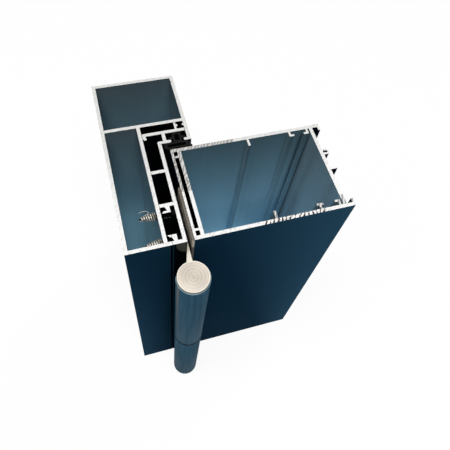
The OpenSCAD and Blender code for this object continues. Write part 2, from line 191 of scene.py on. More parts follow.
class SampleColours(bpy.types.PropertyGroup):
    """Colours of the finishes."""

    navy: colour("Coat", "Dark blue coating of the profiles", "#122D3E")
    # This lit coat is painted light.
    navy_light: colour("Coat, Lit", "Coating where it catches more light", "#2A4A5D")
    # Down the chambers these colours grow paler as painted light, and the side walls' colours are paler still as
    # painted light.
    frame_top: colour("Frame Chamber, Top", "Coating in the frame's chambers near the cut", "#697B83")
    frame_deep: colour("Frame Chamber, Deep", "Coating deep in the frame's chambers", "#94C7DD")
    frame_side: colour("Frame Side Wall", "Coating of those chambers' side walls near the cut", "#6C7F88")
    frame_side_deep: colour("Frame Side Wall, Deep", "Paler coating deep on those walls", "#C8E8F5")
    leaf_top: colour("Leaf Chamber, Top", "Coating in the leaf's chamber near the cut", "#66838E")
    leaf_deep: colour("Leaf Chamber, Deep", "Coating deep in the leaf's chamber", "#AFE2F8")
    leaf_side: colour("Leaf Side Wall", "Coating of that chamber's side wall near the cut", "#9DBAC6")
    leaf_side_deep: colour("Leaf Side Wall, Deep", "Paler coating deep on that wall", "#C4E6F6")
    wall_gloss: colour("Side Wall Gloss", "Tint of the gloss on the chambers' side walls", "#95999F")
    # The fin tint lifts the fins' left faces as painted light.
    fin: colour("Fin Tint", "Tint of the fins' side faces", "#FFEDE8")
    # This near-black also stands as painted shade in the frame's gap, the joint's groove, the leaf's slot, the
    # seal's hollows and the screws' shaded steel.
    black: colour("Rebate Coat", "Near-black coating of the rebate profile", "#020304")
    night: colour("Rebate Coat, Lit", "Blue-black ripples in that coating", "#070C12")
    # On the leaf's edge this darker tone is painted shade.
    glazing: colour("Leaf Edges", "Darker coating on the leaf's edge and its glazing side", "#0C1B27")
    # This grey patch is painted light on the foot.
    foot_lit_patch: colour("Foot Patch", "Worn grey patch on the foot beside the strap", "#3C3C39")
    cut: colour("Sawn Metal", "Bright sawn aluminium at the front", "#EDEDEC")
    cut_back: colour("Sawn Metal, Back", "Greyer sawn aluminium at the back", "#D8D8D6")
    cut_dull: colour("Sawn Metal, Dull", "Duller stripes on the sawn ends", "#BAB9B6")
    speck: colour("Speck", "Specks of burnt cutting oil on the sawn ends", "#8A7F72")
    # On the leaf's front fins this grey only darkens their cut.
    rough: colour("Rough Cut", "Grey rough metal on the leaf's back corner and front fins", "#8D8B88")
    gash: colour("Gash", "Torn gashes in the sawn ends", "#2B211B")
    turned: colour("Turned Metal", "Pale turned metal of the barrel's end", "#CCC3B6")
    turned_rim: colour("Turned Rim", "Bright rim of the turned end", "#E9E2D4")
    turned_dark: colour("Turned Groove", "Grooves of the turned end", "#AC9F90")
    # This tone is darkened partly as painted shade in the gap under the barrel's end.
    bare: colour("Bare Barrel", "Bare barrel metal beside the sleeve", "#5F554B")
    sleeve: colour("Sleeve", "Blue coating of the sleeves", "#355A6C")
    sleeve_dark: colour("Sleeve, Dark", "Darker streaks on the sleeves", "#29475A")
    sleeve_rim: colour("Sleeve Rim", "Bare rim of the sleeves", "#7C909A")
    sleeve_gloss: colour("Sleeve Gloss", "Tint of the gloss on the sleeves", "#BCBFC4")
    # This warm streak is a painted reflection.
    reflecting: colour("Rubbed Streak", "Warm streak where the sleeve's coating is rubbed", "#7A736B")
    plate: colour("Plate", "Pale rolled plate metal", "#EFE7DA")
    plate_dark: colour("Plate, Dark", "Darker rolling streaks on the plate", "#B4AA9A")
    # This tone is painted shadow below the plate's strip.
    plate_shadow: colour("Plate, Tarnished", "Tarnished plate below its bare strip", "#4E4A44")
    # The plate edge's dull tones are partly painted shade.
    plate_edge: colour("Plate Edge", "Dull grey-brown cut on the plate's top edge", "#7E766A")
    plate_edge_dark: colour("Plate Edge, Dark", "Saw marks on the plate's top edge", "#514B42")
    rubber: colour("Seal", "Charcoal rubber of the seal's cut ends", "#0C0D0E")
    steel: colour("Steel", "Zinc-plated steel of the screws", "#E2DED6")
    steel_dark: colour("Steel, Dull", "Dull patches on the screws", "#4A4742")
    nylon: colour("Ring", "Dark nylon of the ring between the knuckles", "#111316")
    floor: colour("Floor", "Pale studio floor", "#FBFBFB")


class SampleStudio(bpy.types.PropertyGroup):
    """Camera and light."""

    camera_place: FloatVectorProperty(
        name="Camera Location", description="Where the camera stands", size=3,
        default=(-0.06197, -0.14597, 0.43578), subtype="TRANSLATION", unit="LENGTH")
    camera_turn: FloatVectorProperty(
        name="Camera Rotation", description="How the camera is turned", size=3,
        default=tuple(math.radians(a) for a in (31.833, -5.199, -15.983)), subtype="EULER", unit="ROTATION")
    lens: FloatProperty(name="Lens", description="Focal length in millimetres", default=39.5, min=1.0)
    shift: FloatProperty(name="Vertical Shift", description="Shift of the frame below the lens axis",
                         default=-0.0889)
    key_level: level("Key Level", "Brightness of the light from the front", 0.56)
    fill_level: level("Fill Level", "Brightness of the steep light from the left", 0.34)
    side_level: level("Side Level", "Brightness of the lower light from the left", 0.14)
    rim_level: level("Rim Level", "Brightness of the light from behind", 0.2)
    sky_level: level("Sky Level", "Brightness of the even light from all round", 0.08)
    floor_glow: FloatProperty(
        name="Floor Whiteness", description="Share of plain white in the floor's look",
        default=0.9, min=0.0, max=1.0, subtype="FACTOR")
    chips: IntProperty(
        name="Saw Chips", description="Number of chips along the torn cut", default=26, min=0)


# Short names for nodes with their settings
KINDS = {
    "Blend": ("Mix", {"data_type": "RGBA"}),
    "Shade": ("VectorMath", {"operation": "SCALE"}),
    "Tint": ("VectorMath", {"operation": "MULTIPLY"}),
    "Offset": ("VectorMath", {"operation": "SUBTRACT"}),
    "Length": ("VectorMath", {"operation": "LENGTH"}),
    "Times": ("Math", {"operation": "MULTIPLY"}),
    "Minus": ("Math", {"operation": "SUBTRACT"}),
    "Unsigned": ("Math", {"operation": "ABSOLUTE"}),
    "Most": ("Math", {"operation": "MAXIMUM"}),
    "Above": ("Math", {"operation": "GREATER_THAN"}),
    "Below": ("Math", {"operation": "LESS_THAN"}),
    "Rings": ("TexWave", {"wave_type": "RINGS", "rings_direction": "Z"}),
    "Round": ("TexGradient", {"gradient_type": "RADIAL"}),
}


def fill(tree, socket, value):
    """Links a socket to a node's output, or gives it a value or a colour."""
    if isinstance(value, bpy.types.NodeSocket):
        tree.links.new(value, socket)
    else:
        socket.default_value = (*value, 1.0) if isinstance(value, Color) else value


def add_node(tree, kind, *inputs, out=None, **named):
    """Adds a node and returns its first output in use, or the one that out names.

    Plain arguments fill the inputs in use, in order. A named one with a capital fills the input of that
    name, and one in small letters is a setting.
    """
    base, settings = KINDS.get(kind, (kind, {}))
    node = tree.nodes.new("ShaderNode" + base)
    for name, value in (settings | named).items():
        if name.islower():
            setattr(node, name, value)
        else:
            fill(tree, node.inputs[name.replace("_", " ")], value)
    used = [socket for socket in node.inputs if socket.enabled]
    for socket, value in zip(used, inputs):
        fill(tree, socket, value)
    return node.outputs[out] if out else next(socket for socket in node.outputs if socket.enabled)


def start_material(name):
    """A new material, the function that adds its nodes, and the place on the piece."""
    material = bpy.data.materials.new(name)
    material.use_nodes = True
    add = partial(add_node, material.node_tree)
    return material, add, add("TexCoord", out="Object")


def set_shader(material, **sockets):
    """Sets or links the shader's sockets, named with underscores for spaces, and returns the material."""
    tree = material.node_tree
    for name, value in sockets.items():
        fill(tree, tree.nodes["Principled BSDF"].inputs[name.replace("_", " ")], value)
    return material


def wave_scale(pitch):
    """Scale at which the Wave texture repeats once in a pitch."""
    return math.pi / 10 / pitch


def facing(add, axis):
    """How far a face leans along an axis, from minus one to one."""
    return add("SeparateXYZ", add("TexCoord", out="Normal"), out=axis)


def any_of(add, masks):
    """The largest of some masks."""
    most = 0.0
    for mask in masks:
        most = add("Most", most, mask)
    return most


def drawn_streaks(add, place, width, run):
    """Streaks of a real width down the length of a piece, longer with a smaller run."""
    drawn = add("Mapping", place, Scale=(1.0, 1.0, run))
    return add("TexNoise", drawn, Scale=1 / width, Detail=3.0)


def inside(add, place, low, high):
    """One within a box seen from above, zero outside it."""
    middle = [(a + b) / 2 for a, b in zip(low, high)]
    half = [(b - a) / 2 for a, b in zip(low, high)]
    offset = add("Offset", place, (*middle, 0.0))
    span = add("VectorMath", offset, operation="ABSOLUTE")
    past = add("Offset", span, (*half, 0.0))
    past_x, past_y = [add("SeparateXYZ", past, out=axis) for axis in "XY"]
    return add("Below", add("Most", past_x, past_y), 0.0)


def sawn_end(add, place, sizes, colours):
    """Mask, colour and relief of a sawn end: bright metal with slanted saw stripes and dull specks.

    The stripes and scratches are drawn several times coarser than real ones, so that they show.
    """
    mask = add("Above", add("Unsigned", facing(add, "Z")), LEAN)
    slanted = add("Mapping", place, Rotation=(0.0, 0.0, SAW_SLANT))
    stripes = add("TexWave", slanted, Scale=wave_scale(sizes.saw_pitch), Distortion=1.2)
    scratches = add("TexWave", slanted, Scale=wave_scale(sizes.scratch_pitch), Distortion=4.0, Detail=3.0)
    specks = add("TexNoise", place, Scale=1 / sizes.speck, Detail=4.0)
    # The stripes fade in patches ten times as wide as the specks.
    broad = add("TexNoise", place, Scale=0.1 / sizes.speck)
    dull = add("MapRange", stripes, 0.55, 1.0, 0.0, 0.55)
    dull = add("Times", dull, broad)
    hatch = add("MapRange", scratches, 0.5, 0.9, 0.0, 0.28)
    dull = add("Most", dull, hatch)
    back = add("SeparateXYZ", place, out="Y")
    # The metal turns greyer from about a third of the way back.
    grey_start = LEAF_LOW.y + 0.3 * (LEAF_HIGH.y - LEAF_LOW.y)
    rearward = add("MapRange", back, grey_start, LEAF_HIGH.y)
    clean = add("Blend", rearward, colours.cut, colours.cut_back)
    bright = add("Blend", dull, clean, colours.cut_dull)
    spotted = add("MapRange", specks, 0.6, 0.7, 0.0, 0.7)
    metal = add("Blend", spotted, bright, colours.speck)
    height = add("Math", stripes, scratches, operation="ADD")
    return mask, metal, height


def torn_cut(add, place, sizes, colours, metal):
    """Adds gashes to the leaf's front cut and rough grey metal to its back corner, and greys the cut of its front
    fins.

    Both are drawn coarser than real ones, so that they show.
    """
    wall = sizes.wall
    torn_start = LEAF_LOW.x + sizes.gash_start
    # The torn zones reach a little past the walls that they lie on.
    past_wall = 1.2 * wall
    stretch = inside(add, place, (torn_start, LEAF_LOW.y),
                     (LEAF_LOW.x + sizes.gash_end, LEAF_LOW.y + past_wall))
    slanted = add("Mapping", place, Rotation=(0.0, 0.0, GASH_SLANT))
    gashes = add("TexWave", slanted, Scale=wave_scale(sizes.gash_pitch), Distortion=5.0, Detail_Scale=1.5)
    deep = add("MapRange", gashes, 0.6, 0.75)
    torn = add("Times", deep, stretch)
    metal = add("Blend", torn, metal, colours.gash)
    middle = (LEAF_LOW.y + LEAF_HIGH.y) / 2
    zones = [((LEAF_LOW.x, middle), (LEAF_LOW.x + 3 * wall, LEAF_HIGH.y)),
             ((LEAF_LOW.x, LEAF_HIGH.y - past_wall), (torn_start, LEAF_HIGH.y)),
             ((torn_start, LEAF_LOW.y + wall), (LEAF_HIGH.x, LEAF_LOW.y + 4 * wall))]
    zone = any_of(add, [inside(add, place, low, high) for low, high in zones])
    rough = add("TexWave", slanted, Scale=wave_scale(sizes.rough_pitch), Distortion=7.0, Detail=3.0,
                Detail_Scale=2.0)
    dulled = add("MapRange", rough, 0.3, 0.8, 0.25, 0.95)
    return add("Blend", add("Times", dulled, zone), metal, colours.rough)


def bare_ends(add, place, sizes, colours, coat, torn=False):
    """Mask of the sawn ends, and the colour and bump of a finely rippled coat that leaves them bare."""
    cut, metal, saw = sawn_end(add, place, sizes, colours)
    if torn:
        metal = torn_cut(add, place, sizes, colours, metal)
    ripple = add("TexNoise", place, Scale=1 / sizes.peel)
    relief = add("Mix", cut, ripple, saw)
    bump = add("Bump", Height=relief, Strength=0.25, Distance=RELIEF)
    return cut, add("Blend", cut, coat, metal), bump


def coated_profile(name, sizes, colours, chambers, narrow, tones, fins_end, fin_tips=None):
    """Powder-coated aluminium: satin dark blue outside, paler in its chambers, bare at its sawn ends.

    The coating is drawn paler down the chambers as painted light, for the light that its glossy walls throw
    between them.
    Chambers and narrow places are boxes seen from above, and a narrow one has its own colour. Tones are the
    colours near the cut and deep down, in the chambers and on their side walls.
    """
    material, add, place = start_material(name)
    across, back, height = [add("SeparateXYZ", place, out=axis) for axis in "XYZ"]
    top = LEAF_HIGH.z
    # Outside, painted light pales the leaf's far half, more of it near the cut, and the frame's near corner.
    width = LEAF_HIGH.x - LEAF_LOW.x
    lit_start = add("MapRange", height, 0.0, top, LEAF_LOW.x + 0.72 * width, LEAF_LOW.x + 0.12 * width)
    rightward = add("MapRange", across, lit_start, LEAF_HIGH.x)
    frame_low, frame_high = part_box("frame_profile")
    lit_end = frame_low.x + 0.42 * (frame_high.x - frame_low.x)
    lit_share = add("MapRange", height, top, 0.3 * top, 0.03, 0.65)
    leftward = add("MapRange", across, lit_end, frame_low.x, 0.0, lit_share)
    lit = add("Most", rightward, leftward)
    outer = add("Blend", lit, colours.navy, colours.navy_light)
    # Inside, painted light makes the side wall that faces left palest, and the fins stand out by their tint, which
    # lifts their left faces as painted light.
    # The chambers grow paler with depth as painted light.
    depth = add("MapRange", height, top, top - sizes.coat_reach)
    inner, side = [add("Blend", depth, near, deep) for near, deep in tones]
    facing_left = add("MapRange", facing(add, "X"), -0.3, -0.9)
    beyond_fins = add("Above", across, fins_end)
    side_wall = add("Times", facing_left, beyond_fins)
    # Painted light pales the side wall towards the front.
    frontward = add("MapRange", back, LEAF_HIGH.y, LEAF_LOW.y, 0.75, 1.15)
    side = add("Shade", side, frontward)
    fin_glow = 1.4
    fin = add("Tint", inner, fin_glow * Vector(colours.fin))
    fin_face = add("Minus", facing_left, side_wall)
    inner = add("Blend", fin_face, inner, fin)
    inner = add("Blend", side_wall, inner, side)
    if fin_tips:
        # The fins' tips take painted shade.
        tip_shade = 0.74
        tip = add("Minus", inside(add, place, *fin_tips), facing_left, use_clamp=True)
        shaded = add("Shade", inner, tip_shade)
        inner = add("Blend", tip, inner, shaded)
    streaks = drawn_streaks(add, place, sizes.coat_streak, 0.01)
    shade = add("MapRange", streaks, 0.3, 0.7, 0.96, 1.03)
    inner = add("Shade", inner, shade)
    within = any_of(add, [inside(add, place, low, high) for low, high in chambers])
    coat = add("Blend", within, outer, inner)
    for low, high, tone in narrow:
        coat = add("Blend", inside(add, place, low, high), coat, tone)
    cut, base, bump = bare_ends(add, place, sizes, colours, coat, torn=bool(fin_tips))
    shine = add("MapRange", within, 0.0, 1.0, 0.25, 0.35)
    metallic = add("Mix", cut, shine, 0.15)
    satin = add("MapRange", within, 0.0, 1.0, 0.35, 0.28)
    roughness = add("Mix", cut, satin, 0.45)
    # The side walls are glossy and mirror the wall behind them at a flat angle.
    glossy = add("Times", side_wall, within)
    roughness = add("Mix", glossy, roughness, 0.08)
    gloss = add("Times", glossy, 0.5)
    return set_shader(material, Base_Color=base, Metallic=metallic, Roughness=roughness, Normal=bump,
                      Specular_IOR_Level=gloss, Specular_Tint=colours.wall_gloss)


def rebate_coat(sizes, colours):
    """Black-coated aluminium: it swallows the light, apart from sawn ends, a painted highlight by the joint and a
    painted pool of light on the foot.
    """
    material, add, place = start_material("black_coated_aluminium")
    ripple = add("TexNoise", place, Scale=1 / sizes.peel)
    coat = add("Blend", ripple, colours.black, colours.night)
    low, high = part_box("rebate_profile")
    joint = low.x + sizes.foot_inset
    # A painted highlight on the edge beside the joint.
    lit = inside(add, place, (joint, low.y - sizes.wall), (joint + sizes.joint_edge, low.y + sizes.wall))
    coat = add("Blend", lit, coat, colours.navy)
    # The patch of painted light is a quarter of an ellipse on the foot's front face, at its top corner by the
    # strap.
    off_corner = add("Offset", place, (AXIS_X, low.y, high.z))
    span = (1 / sizes.patch_width, 1 / sizes.wall, 1 / sizes.patch_height)
    far = add("Length", add("Tint", off_corner, span))
    near = add("MapRange", far, 1.0, 0.85)
    forward = add("Below", facing(add, "Y"), -LEAN)
    coat = add("Blend", add("Times", near, forward), coat, colours.foot_lit_patch)
    cut, base, bump = bare_ends(add, place, sizes, colours, coat)
    metallic = add("Times", cut, 0.15)
    return set_shader(material, Base_Color=base, Metallic=metallic, Normal=bump, Roughness=0.45,
                      Specular_IOR_Level=0.0)


def seal_rubber(sizes, colours):
    """Extruded EPDM rubber: black down its sides, matt charcoal with grain and bloom on its cut ends."""
    material, add, place = start_material("epdm_rubber")
    grain = add("TexNoise", place, Scale=1 / sizes.rubber_grain, Detail=4.0)
    bloom = add("MapRange", grain, 0.4, 0.8, 0.0, 0.2)
    end = add("Blend", bloom, colours.rubber, colours.steel_dark)
    cut = add("MapRange", facing(add, "Z"), 0.4, 0.8)
    # Faces that don't face up are black, which also stands as painted shade in the seal's hollows.
    base = add("Blend", cut, colours.black, end)
    bump = add("Bump", Height=grain, Strength=0.3, Distance=RELIEF)
    return set_shader(material, Base_Color=base, Normal=bump, Roughness=0.7, Specular_IOR_Level=0.05)


def turned_metal(sizes, colours):
    """Turned aluminium: a pale end with rings round the barrel's axis and a painted sheen, and darker bare metal
    down its side, partly painted shade.

    The rings are drawn much coarser than a lathe leaves them, so that they show.
    """
    material, add, place = start_material("turned_aluminium")
    rim_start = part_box("upper_sleeve")[1].x - AXIS_X - sizes.sleeve_wall - sizes.disc_rim
    end = add("MapRange", facing(add, "Z"), 0.3, 0.8)
    centred = add("Mapping", place, Location=-AXIS)
    rings = add("Rings", centred, Scale=wave_scale(sizes.ring_pitch), Distortion=0.6)
    lathe = add("Rings", centred, Scale=wave_scale(sizes.ring_pitch / 3), Distortion=1.0)
    groove = add("MapRange", rings, 0.3)
    patches = add("TexNoise", place, Scale=1 / sizes.disc_patch)
    groove = add("Times", groove, patches)
    outward = add("Length", add("Tint", centred, (1.0, 1.0, 0.0)))
    fading = add("MapRange", outward, 0.5 * rim_start, 0.9 * rim_start, 1.0, 0.3)
    groove = add("Times", groove, fading)
    pale = add("Blend", groove, colours.turned, colours.turned_dark)
    # A painted sheen gives the turned face two brighter wings.
    sweep = add("Times", add("Round", centred), 2 * FULL_TURN)
    sheen = add("Math", sweep, operation="SINE")
    glow = add("MapRange", sheen, -1.0, 1.0, 0.94, 1.04)
    # The end grows lighter towards its rim.
    lighter = add("MapRange", outward, 0.0, rim_start, 0.93, 1.08)
    for share in (glow, lighter):
        pale = add("Shade", pale, share)
    rim = add("Above", outward, rim_start)
    pale = add("Blend", rim, pale, colours.turned_rim)
    smudge = add("TexNoise", place, Scale=1 / sizes.smudge, Detail=3.0)
    # The bare side's dark tone is partly painted shade in the gap under the end.
    side = add("Blend", smudge, colours.bare, colours.plate_dark)
    base = add("Blend", end, side, pale)
    bump = add("Bump", Height=lathe, Strength=0.2, Distance=0.8 * RELIEF)
    return set_shader(material, Base_Color=base, Normal=bump, Metallic=0.15, Roughness=0.42)


def plate_metal(sizes, colours):
    """Rolled aluminium plate: a pale streaked strip at its top, painted shadow below, hatched on its cut edge.

    The hatch is drawn coarser than real saw marks, so that it shows.
    """
    material, add, place = start_material("rolled_aluminium_plate")
    tone = add("MapRange", drawn_streaks(add, place, sizes.plate_streak, 0.02), 0.3, 0.7)
    edge = add("Above", facing(add, "Z"), LEAN)
    slanted = add("Mapping", place, Rotation=(0.0, 0.0, HATCH_SLANT))
    hatch = add("TexWave", slanted, Scale=wave_scale(sizes.plate_hatch), Distortion=1.5)
    side = add("Blend", tone, colours.plate, colours.plate_dark)
    # The cut edge's dull tones are partly painted shade.
    top = add("Blend", hatch, colours.plate_edge, colours.plate_edge_dark)
    marked = add("MapRange", hatch, 0.0, 1.0, 1.05, 0.6)
    # Painted shade dims the plate where it stands out in front of the leaf.
    front = LEAF_LOW.y
    behind = add("SeparateXYZ", place, out="Y")
    dimmed = add("MapRange", behind, front - sizes.wall, front + sizes.wall, 0.4, 1.0)
    for share in (marked, dimmed):
        side = add("Shade", side, share)
    # The bare strip, above the painted shadow, reaches lower at the back by this slope.
    slope = 0.1
    height = add("VectorMath", place, (0.0, slope, 1.0), operation="DOT_PRODUCT")
    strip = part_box("lower_knuckle")[1].z - sizes.plate_strip + slope * front
    bare = add("MapRange", height, strip - sizes.shadow_edge, strip)
    # Below the bare strip the plate takes painted shadow.
    side = add("Blend", bare, colours.plate_shadow, side)
    base = add("Blend", edge, side, top)
    relief = add("Mix", edge, tone, hatch)
    bump = add("Bump", Height=relief, Strength=0.2, Distance=RELIEF)
    return set_shader(material, Base_Color=base, Normal=bump, Metallic=0.4, Roughness=0.5)


def sleeve_coat(sizes, colours):
    """Anodised aluminium sleeve: satin blue with faint drawn streaks, a painted warm reflection, painted shade
    towards its foot and a darker band by the ring.
    """
    material, add, place = start_material("anodised_sleeve_aluminium")
    streaks = drawn_streaks(add, place, sizes.sleeve_streak, 0.03)
    tone = add("MapRange", streaks, 0.35, 0.65)
    base = add("Blend", tone, colours.sleeve, colours.sleeve_dark)
    # The painted reflection fades between these shares of a turn on each side, and towards the ring.
    reflection_edge, reflection_core = 0.025, 0.008
    centred = add("Mapping", place, Location=-AXIS)
    off_streak = add("Minus", add("Round", centred), REFLECTION_ANGLE / FULL_TURN)
    off_streak = add("Unsigned", off_streak)
    reflecting = add("MapRange", off_streak, reflection_edge, reflection_core, 0.0, 0.75)
    height = add("SeparateXYZ", place, out="Z")
    joint_low, joint_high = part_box("joint_ring")
    upper = add("MapRange", height, joint_high.z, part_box("upper_sleeve")[1].z)
    reflecting = add("Times", reflecting, upper)
    base = add("Blend", reflecting, base, colours.reflecting)
    rim = add("MapRange", facing(add, "Z"), 0.7, 0.95)
    base = add("Blend", rim, base, colours.sleeve_rim)
    # Painted shade darkens the lower sleeve towards its foot.
    lower = add("MapRange", height, 0.0, joint_high.z, 0.74, 1.0)
    base = add("Shade", base, lower)
    # Both sleeves grow darker towards the ring.
    joint = (joint_low.z + joint_high.z) / 2
    off_joint = add("Unsigned", add("Minus", height, joint))
    reach = joint - joint_low.z + sizes.ring_dark_reach
    ring_dark = add("MapRange", off_joint, reach, 0.7 * reach)
    base = add("Blend", ring_dark, base, colours.nylon)
    bump = add("Bump", Height=streaks, Strength=0.1, Distance=RELIEF)
    return set_shader(material, Base_Color=base, Normal=bump, Metallic=0.35, Roughness=0.38,
                      Specular_IOR_Level=0.0, Specular_Tint=colours.sleeve_gloss)


def plated_steel(sizes, colours):
    """Zinc-plated steel: bright grey with dull patches where the plating has gone matt."""
    material, add, place = start_material("zinc_plated_steel")
    patches = add("TexNoise", place, Scale=1 / sizes.steel_patch, Detail=3.0)
    dull = add("MapRange", patches, 0.45, 0.75, 0.0, 0.7)
    base = add("Blend", dull, colours.steel, colours.steel_dark)
    roughness = add("MapRange", dull, 0.0, 1.0, 0.25, 0.5)
    return set_shader(material, Base_Color=base, Roughness=roughness, Metallic=0.5)


def oiled_steel(sizes, colours):
    """Steel in painted shade: the screws' cores stay dark between the bright crests of their threads, and so do
    the drill screws outside the frame's chamber.
    """
    material, add, place = start_material("oiled_steel")
    patches = add("TexNoise", place, Scale=1 / sizes.shaded_steel_patch, Detail=3.0)
    stains = add("MapRange", patches, 0.5, 0.8, 0.0, 0.35)
    base = add("Blend", stains, colours.black, colours.steel_dark)
    return set_shader(material, Base_Color=base, Roughness=0.45, Metallic=0.3, Specular_IOR_Level=0.1)


def ring_nylon(sizes, colours):
    """Moulded nylon: near-black and matt, with a faint mottle."""
    material, add, place = start_material("black_nylon")
    mottle = add("TexNoise", place, Scale=1 / sizes.mottle)
    base = add("Blend", mottle, colours.nylon, colours.rubber)
    return set_shader(material, Base_Color=base, Roughness=0.55, Specular_IOR_Level=0.02)


def torn_chips(sizes, colours):
    """Torn aluminium: bright saw marks on the chips' tops, burnt brown down their sides."""
    material, add, place = start_material("torn_aluminium_chips")
    cut, metal, _ = sawn_end(add, place, sizes, colours)
    base = add("Blend", cut, colours.speck, metal)
    return set_shader(material, Base_Color=base, Metallic=0.2, Roughness=0.4)


def coat_node(node, material):
    """Gives a construction node its finish."""
    for slot in frame["nodes"][node].material_slots:
        slot.material = material


def make_piece(name, bm, materials, body, slot, *nodes):
    """Makes a piece from a bmesh, rides it on a body and hides the nodes that it stands for."""
    mesh = bpy.data.meshes.new(name)
    bm.to_mesh(mesh)
    bm.free()
    mesh.shade_smooth()
    mesh.set_sharp_from_angle(angle=SHARP)
    for material in materials:
        mesh.materials.append(material)
    piece = bpy.data.objects.new(name, mesh)
    bpy.context.scene.collection.objects.link(piece)
    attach(piece, body)
    if nodes:
        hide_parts(*nodes)


def chain(bm, points, closed=False):
    """A row of vertices joined by edges."""
    verts = [bm.verts.new(p) for p in points]
    pairs = list(zip(verts, verts[1:]))
    if closed:
        pairs.append((verts[-1], verts[0]))
    return verts + [bm.edges.new(pair) for pair in pairs]


def close_up(bm):
    """Merges doubles, fills the open ends and turns all faces outwards."""
    bmesh.ops.remove_doubles(bm, verts=bm.verts, dist=MERGE)
    rims = [edge for edge in bm.edges if edge.is_boundary]
    bmesh.ops.holes_fill(bm, edges=rims)
    bmesh.ops.recalc_face_normals(bm, faces=bm.faces)


class SAMPLE_OT_coat_profiles(bpy.types.Operator):
    """Coat the frame, rebate and leaf profiles and bare their sawn ends"""

    bl_idname = "sample.coat_profiles"
    bl_label = "Coat Profiles"

    def execute(self, context):
        sizes = context.scene.sample_sizes
        colours = context.scene.sample_colours
        half = sizes.wall / 2
        low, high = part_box("frame_profile")
        chambers = []
        for name in ("frame_back_chamber", "frame_tall_chamber"):
            (left, front, _), (right, back, _) = OPENINGS[name]
            chambers.append(((left - half, front - half), (right + half, back + half)))
        tall_right, tall_back = chambers[1][1]
        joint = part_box("rebate_profile")[0].x + sizes.foot_inset
        # Painted shade blacks out the gap beside the tall chamber and the groove of the front joint.
        narrow = [((tall_right, low.y + half), (high.x - half, tall_back), colours.black),
                  ((joint - sizes.joint_groove, low.y - half), (joint, low.y + half), colours.black)]
        tones = ((colours.frame_top, colours.frame_deep), (colours.frame_side, colours.frame_side_deep))
        coat_node("frame_profile", coated_profile("powder_coated_frame_aluminium", sizes, colours,
                                                  chambers, narrow, tones, low.x))
        (left, _, _), (right, _, _) = OPENINGS["leaf_chamber"]
        left, right = left - half, right + half
        front, back = LEAF_LOW.y + half, LEAF_HIGH.y - half
        # Painted shade blacks out the slot of the leaf's double edge and darkens its edge, and its glazing side is
        # darker too.
        narrow = [((LEAF_LOW.x + half, front), (left, back), colours.black),
                  ((right, front), (LEAF_HIGH.x + half, back), colours.glazing),
                  ((LEAF_LOW.x - half, front), (LEAF_LOW.x + half, back), colours.glazing)]
        back_face = LEAF_HIGH.y - sizes.wall
        fin_tips = ((left, back_face - sizes.fin_reach), (right, back_face - half / 2))
        tones = ((colours.leaf_top, colours.leaf_deep), (colours.leaf_side, colours.leaf_side_deep))
        coat_node("leaf_profile", coated_profile("powder_coated_leaf_aluminium", sizes, colours,
                                                 [((left, front), (right, back))], narrow, tones,
                                                 right - sizes.wall, fin_tips))
        coat_node("rebate_profile", rebate_coat(sizes, colours))
        return {"FINISHED"}


class SAMPLE_OT_fit_seal(bpy.types.Operator):
    """Round the seal's corners and give it its rubber"""

    bl_idname = "sample.fit_seal"
    bl_label = "Fit Seal"

    def execute(self, context):
        sizes = context.scene.sample_sizes
        bm = bmesh.new()
        bm.from_mesh(frame["nodes"]["rebate_seal"].data)
        bmesh.ops.remove_doubles(bm, verts=bm.verts, dist=MERGE)
        bmesh.ops.dissolve_limit(bm, angle_limit=math.radians(1), verts=bm.verts, edges=bm.edges)
        long_edges = [e for e in bm.edges if abs(e.verts[0].co.z - e.verts[1].co.z) > sizes.wall]
        bmesh.ops.bevel(bm, geom=long_edges, offset=sizes.seal_edge, affect="EDGES", segments=3,
                        profile=0.5, material=-1)
        rubber = seal_rubber(sizes, context.scene.sample_colours)
        make_piece("rebate_seal_rounded", bm, [rubber], "frame", "seal", "rebate_seal")
        return {"FINISHED"}


def turned_ring(inner, outer, low, high, rounded, edge, start=0.0, turn=FULL_TURN):
    """A ring round the barrel's axis, or part of one from an angle on, with some of its corners rounded."""
    corners = ((inner, low), (outer, low), (outer, high), (inner, high))
    turned = Matrix.Rotation(start, 3, "Z")
    bm = bmesh.new()
    verts = [bm.verts.new(AXIS + turned @ Vector((radius, 0, z))) for radius, z in corners]
    bm.faces.new(verts)
    bmesh.ops.bevel(bm, geom=verts[rounded], offset=edge, affect="VERTICES", segments=3,
                    profile=0.5, material=-1)
    bmesh.ops.delete(bm, geom=bm.faces[:], context="FACES_ONLY")
    bmesh.ops.spin(bm, geom=bm.verts[:] + bm.edges[:], cent=AXIS, axis=UPWARD, angle=turn,
                   steps=ROUND_STEPS, use_merge=turn == FULL_TURN)
    close_up(bm)
    return bm


